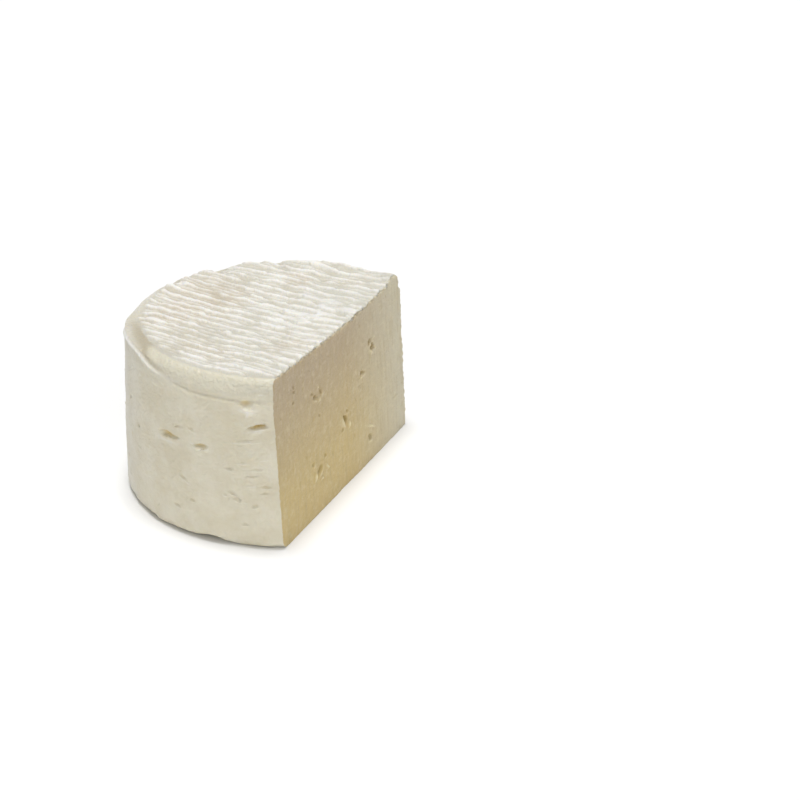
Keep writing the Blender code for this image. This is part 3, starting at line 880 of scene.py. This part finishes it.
drawn = node(tree, "ShaderNodeVectorMath", {0: along, 1: (0.4, 1.0, 1.0)}, operation="MULTIPLY")
noises = [node(tree, "ShaderNodeTexNoise", {"Vector": vector, "W": given["Seed"], "Scale": 1.0 / reach,
                                            "Detail": detail}, noise_dimensions="4D")
          for vector, reach, detail in ((along, 17.0 * MM, 1.0), (along, 5.0 * MM, 1.0),
                                        (drawn, 2.2 * MM, 2.0), (drawn, 9.0 * MM, 2.0),
                                        (drawn, 3.5 * MM, 2.0))]
wander, waver, fine, patchy, uneven = (
    node(tree, "ShaderNodeMath", {0: noise, 1: 0.5}, operation="SUBTRACT") for noise in noises)
for drift, much in ((wander, given["Wander"]), (waver, given["Waver"])):
    line = node(tree, "ShaderNodeMath", {0: drift, 1: much, 2: line}, operation="MULTIPLY_ADD")
line = node(tree, "ShaderNodeMath", {0: line, 1: given["First ridge"]}, operation="SUBTRACT")
count = node(tree, "ShaderNodeMath", {0: line, 1: given["Pitch"]}, operation="DIVIDE")
angle = node(tree, "ShaderNodeMath", {0: count, 1: math.tau}, operation="MULTIPLY")
wave = node(tree, "ShaderNodeMath", {0: angle}, operation="COSINE")
kept_share = node(tree, "ShaderNodeMapRange", {"Value": pressed, "To Min": 1.0,
                                               "To Max": given["Pressed wave"]})
wave = node(tree, "ShaderNodeMath", {0: wave, 1: kept_share}, operation="MULTIPLY")
level = node(tree, "ShaderNodeMath", {0: wave, 1: given["Level"]}, operation="SUBTRACT")
ragged = node(tree, "ShaderNodeMath", {0: pressed, 1: given["Pressed ragged"], 2: given["Ragged"]},
              operation="MULTIPLY_ADD")
for rough, much in ((fine, ragged), (patchy, given["Patchy"]), (pressed, given["Pressed"])):
    level = node(tree, "ShaderNodeMath", {0: rough, 1: much, 2: level}, operation="MULTIPLY_ADD")
thin = node(tree, "ShaderNodeMath", {0: -1.0, 1: wave}, operation="MULTIPLY")
thin = node(tree, "ShaderNodeMath", {0: thin, 1: given["Thin level"]}, operation="SUBTRACT")
thin = node(tree, "ShaderNodeMath", {0: uneven, 1: given["Ragged"], 2: thin}, operation="MULTIPLY_ADD")
missing = node(tree, "ShaderNodeMath", {0: printed, 1: 1.0}, operation="SUBTRACT")
below = node(tree, "ShaderNodeMath", {0: given["Soft edge"], 1: -1.0}, operation="MULTIPLY")
outlines = []
for wanted in (level, thin):
    wanted = node(tree, "ShaderNodeMath", {0: missing, 1: given["Fade"], 2: wanted},
                  operation="MULTIPLY_ADD")
    outlines.append(node(tree, "ShaderNodeMapRange", {"Value": wanted, "From Min": below,
                                                      "From Max": given["Soft edge"]},
                         interpolation_type="SMOOTHSTEP"))
thin = node(tree, "ShaderNodeMath", {0: outlines[1], 1: given["Thin share"]}, operation="MULTIPLY")
share = node(tree, "ShaderNodeMapRange", {"Value": noises[-1], "From Min": 0.32, "From Max": 0.6,
                                          "To Min": 0.6, "To Max": 1.0})
lift = node(tree, "ShaderNodeMath", {0: outlines[0], 1: share}, operation="MULTIPLY")
lift = node(tree, "ShaderNodeMath", {0: lift, 1: thin}, operation="MAXIMUM")
inside = node(tree, "ShaderNodeMapRange", {"Value": printed, "From Max": 0.3})
for share in (inside, depth):
    lift = node(tree, "ShaderNodeMath", {0: lift, 1: share}, operation="MULTIPLY")
rise = node(tree, "ShaderNodeMath", {0: lift, 1: given["Ridge height"]}, operation="MULTIPLY")
sunk = node(tree, "ShaderNodeMath", {0: printed, 1: given["Valley depth"]}, operation="MULTIPLY")
rise = node(tree, "ShaderNodeMath", {0: rise, 1: sunk}, operation="SUBTRACT")
upward = node(tree, "ShaderNodeCombineXYZ", {"Z": rise})
raised = node(tree, "GeometryNodeSetPosition", {"Geometry": given["Geometry"], "Offset": upward})
marked = node(tree, "GeometryNodeStoreNamedAttribute", {"Geometry": raised, "Name": "ridge", "Value": lift})
made = node(tree, "GeometryNodeRealizeInstances", {0: marked})
made = node(tree, "GeometryNodeSetMaterial", {"Geometry": made, "Material": moulded_skin})
node(tree, "NodeGroupOutput", {"Geometry": made})
shape_with(wheel, tree, PRINT)

# Pinholes and the curd's soft unevenness: small mechanical openings scattered over the wall
# and the cut face, and a surface that is nowhere quite true. Both only take curd away.
# how much of the openings' painted shade a pinhole takes
PIN_PAINTED_SHADE = 0.35                  # how much a pinhole takes a hollow's colour
CURD = {
    "Wall openings": 350.0,      # for each square metre
    "Cut openings": 1700.0,
    "Least radius": 0.4 * MM,
    "Largest radius": 0.9 * MM,
    "Opening depth": 0.5,
    "Uneven depth": 0.35 * MM,
    "Uneven size": 16.0 * MM,
    "Grain depth": 0.2 * MM,
    "Grain size": 2.3 * MM,
    "Chip depth": 1.9 * MM,
    "Chip size": 1.6 * MM,
    "Foot depth": 0.7 * MM,
    "Foot size": 8.0 * MM,
    "Seed": 11,
}
tree, given = new_shaping("curd_surface", CURD)
solid = given["Geometry"]
place = node(tree, "GeometryNodeInputPosition")
height = node(tree, "ShaderNodeSeparateXYZ", {0: place}).outputs["Z"]
crowned, chipped, before = (node(tree, "GeometryNodeInputNamedAttribute", {"Name": name})
                            for name in ("crown", "chipped", "hollow_shade"))
sides = node(tree, "ShaderNodeMath", {0: crowned, 1: 0.5}, operation="LESS_THAN")
knifed = node(tree, "GeometryNodeInputNamedAttribute", {"Name": "knife_face"}, data_type="BOOLEAN")
crowd = node(tree, "GeometryNodeSwitch",
             {"Switch": knifed, "False": given["Wall openings"], "True": given["Cut openings"]},
             input_type="FLOAT")
pins = node(tree, "GeometryNodeDistributePointsOnFaces",
            {"Mesh": solid, "Selection": sides, "Density": crowd, "Seed": given["Seed"]})
# A random number's least and largest value are sockets 2 and 3, and output 1 gives it
radius = node(tree, "FunctionNodeRandomValue",
              {2: given["Least radius"], 3: given["Largest radius"], "Seed": given["Seed"]}).outputs[1]
nearest = node(tree, "GeometryNodeSampleNearest", {"Geometry": pins})
centre = node(tree, "GeometryNodeSampleIndex", {"Geometry": pins, "Value": place, "Index": nearest},
              data_type="FLOAT_VECTOR")
reach = node(tree, "GeometryNodeSampleIndex", {"Geometry": pins, "Value": radius, "Index": nearest})
apart = node(tree, "ShaderNodeVectorMath", {0: place, 1: centre}, operation="DISTANCE").outputs["Value"]
share = node(tree, "ShaderNodeMath", {0: apart, 1: reach}, operation="DIVIDE")
dip = node(tree, "ShaderNodeMapRange", {"Value": share, "From Min": 1.0, "From Max": 0.2},
           interpolation_type="SMOOTHSTEP")
deep = node(tree, "ShaderNodeMath", {0: reach, 1: given["Opening depth"]}, operation="MULTIPLY")
inward = node(tree, "ShaderNodeMath", {0: deep, 1: dip}, operation="MULTIPLY")
low = node(tree, "ShaderNodeMapRange", {"Value": height, "From Min": 6.0 * MM, "From Max": 1.0 * MM})
moulded = node(tree, "GeometryNodeSwitch", {"Switch": knifed, "False": given["Foot depth"], "True": 0.0},
               input_type="FLOAT")
for size, detail, roughness, start, end, share, depth in (
        (given["Uneven size"], 3.0, 0.6, 0.3, 0.7, 1.0, given["Uneven depth"]),
        (given["Grain size"], 1.0, 0.5, 0.3, 0.7, 1.0, given["Grain depth"]),
        (given["Chip size"], 2.0, 0.5, 0.36, 0.66, chipped, given["Chip depth"]),
        (given["Foot size"], 3.0, 0.5, 0.4, 0.65, low, moulded)):
    fineness = node(tree, "ShaderNodeMath", {0: 1.0, 1: size}, operation="DIVIDE")
    worn = node(tree, "ShaderNodeTexNoise", {"Vector": place, "Scale": fineness, "Detail": detail,
                                             "Roughness": roughness})
    worn = node(tree, "ShaderNodeMapRange", {"Value": worn, "From Min": start, "From Max": end})
    worn = node(tree, "ShaderNodeMath", {0: worn, 1: share}, operation="MULTIPLY")
    inward = node(tree, "ShaderNodeMath", {0: worn, 1: depth, 2: inward}, operation="MULTIPLY_ADD")
facing = node(tree, "GeometryNodeInputNormal")
offset = node(tree, "ShaderNodeVectorMath", {0: facing, "Scale": inward}, operation="SCALE")
clear = node(tree, "ShaderNodeMapRange", {"Value": height, "From Min": 0.2 * MM, "From Max": 2.0 * MM,
                                          "To Max": -1.0})
on_table = node(tree, "ShaderNodeCombineXYZ", {"X": -1.0, "Y": -1.0, "Z": clear})
offset = node(tree, "ShaderNodeVectorMath", {0: offset, 1: on_table}, operation="MULTIPLY")
# pinholes take a share of the openings' painted shade
pin_shade = node(tree, "ShaderNodeMath", {0: dip, 1: PIN_PAINTED_SHADE}, operation="MULTIPLY")
hollow_shades = node(tree, "ShaderNodeMath", {0: before, 1: pin_shade}, operation="MAXIMUM")
marked = node(tree, "GeometryNodeStoreNamedAttribute",
              {"Geometry": solid, "Name": "hollow_shade", "Value": hollow_shades})
dented = node(tree, "GeometryNodeSetPosition", {"Geometry": marked, "Offset": offset})
made = node(tree, "GeometryNodeRealizeInstances", {0: dented})
made = node(tree, "GeometryNodeSetMaterial", {"Geometry": made, "Material": moulded_skin})
made = node(tree, "GeometryNodeSetMaterial", {"Geometry": made, "Selection": knifed, "Material": cut_paste})
node(tree, "NodeGroupOutput", {"Geometry": made})
shape_with(wheel, tree, CURD)

# The finished surface, as one plain mesh
evaluated = wheel.evaluated_get(bpy.context.evaluated_depsgraph_get())
finished = bpy.data.meshes.new_from_object(evaluated)
wheel.modifiers.clear()
wheel.data = finished
shaping = bmesh.new()
shaping.from_mesh(finished)
for edge in shaping.edges:
    edge.smooth = len({face.material_index for face in edge.link_faces}) == 1
shaping.to_mesh(finished)
shaping.free()
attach(wheel, "root")
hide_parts("cheese_wheel")

# ---- The studio ----
# A plain white table, a narrow sun from straight above, a touch from behind and from the left,
# and a broad fill from the front right. Little light comes from all round, so the walls stay
# darker than the top.
TABLE_HALF = 4.0
TABLE_DROP = 0.1 * MM            # it lies this far under the foot, so that the two don't touch
TABLE_WHITE = "#F7F7F7"          # matt, so it gives the eye no reflection, only the soft shadow
TABLE_ROUGHNESS = 0.8
LAMPS = (                        # name, power, width in degrees, turn about X and about Y
    ("overhead", 2.34, 18.0, -2.0, -3.0),
    ("fill", 1.06, 100.0, 44.0, 48.0),
)
AMBIENT = 0.21
table_mesh = bpy.data.meshes.new("table")
corners = [(x * TABLE_HALF, y * TABLE_HALF, -TABLE_DROP) for x, y in ((-1, -1), (1, -1), (1, 1), (-1, 1))]
table_mesh.from_pydata(corners, [], [(0, 1, 2, 3)])
table = bpy.data.objects.new("table", table_mesh)
bpy.context.scene.collection.objects.link(table)
table_top = bpy.data.materials.new("matt_white_table")
table_top.use_nodes = True
shader = table_top.node_tree.nodes["Principled BSDF"]
shader.inputs["Base Color"].default_value = linear(TABLE_WHITE)
shader.inputs["Roughness"].default_value = TABLE_ROUGHNESS
table_mesh.materials.append(table_top)
for name, power, width, about_x, about_y in LAMPS:
    lamp = bpy.data.lights.new(name, "SUN")
    lamp.energy = power
    lamp.angle = math.radians(width)
    lamp_stand = bpy.data.objects.new(name, lamp)
    lamp_stand.rotation_euler = (math.radians(about_x), math.radians(about_y), 0.0)
    bpy.context.scene.collection.objects.link(lamp_stand)
surroundings = bpy.data.worlds.new("surroundings")
surroundings.use_nodes = True
backdrop = surroundings.node_tree.nodes["Background"]
backdrop.inputs["Color"].default_value = (1.0, 1.0, 1.0, 1.0)
backdrop.inputs["Strength"].default_value = AMBIENT
bpy.context.scene.world = surroundings
bpy.context.scene.view_settings.view_transform = "Standard"

# The camera looks down on the front of the wheel, past the end of the cut
CAMERA_PLACE = (0.4402, -0.9089, 0.5258)
LOOKS_DOWN = 26.16
LOOKS_ROUND = 23.47
LENS = 135.5
SENSOR = 36.0
camera_data = bpy.data.cameras.new("camera")
camera_data.sensor_width = SENSOR
camera_data.lens = LENS
camera = bpy.data.objects.new("camera", camera_data)
camera.location = CAMERA_PLACE
camera.rotation_euler = (math.radians(90.0 - LOOKS_DOWN), 0.0, math.radians(LOOKS_ROUND))
bpy.context.scene.collection.objects.link(camera)
bpy.context.scene.camera = camera
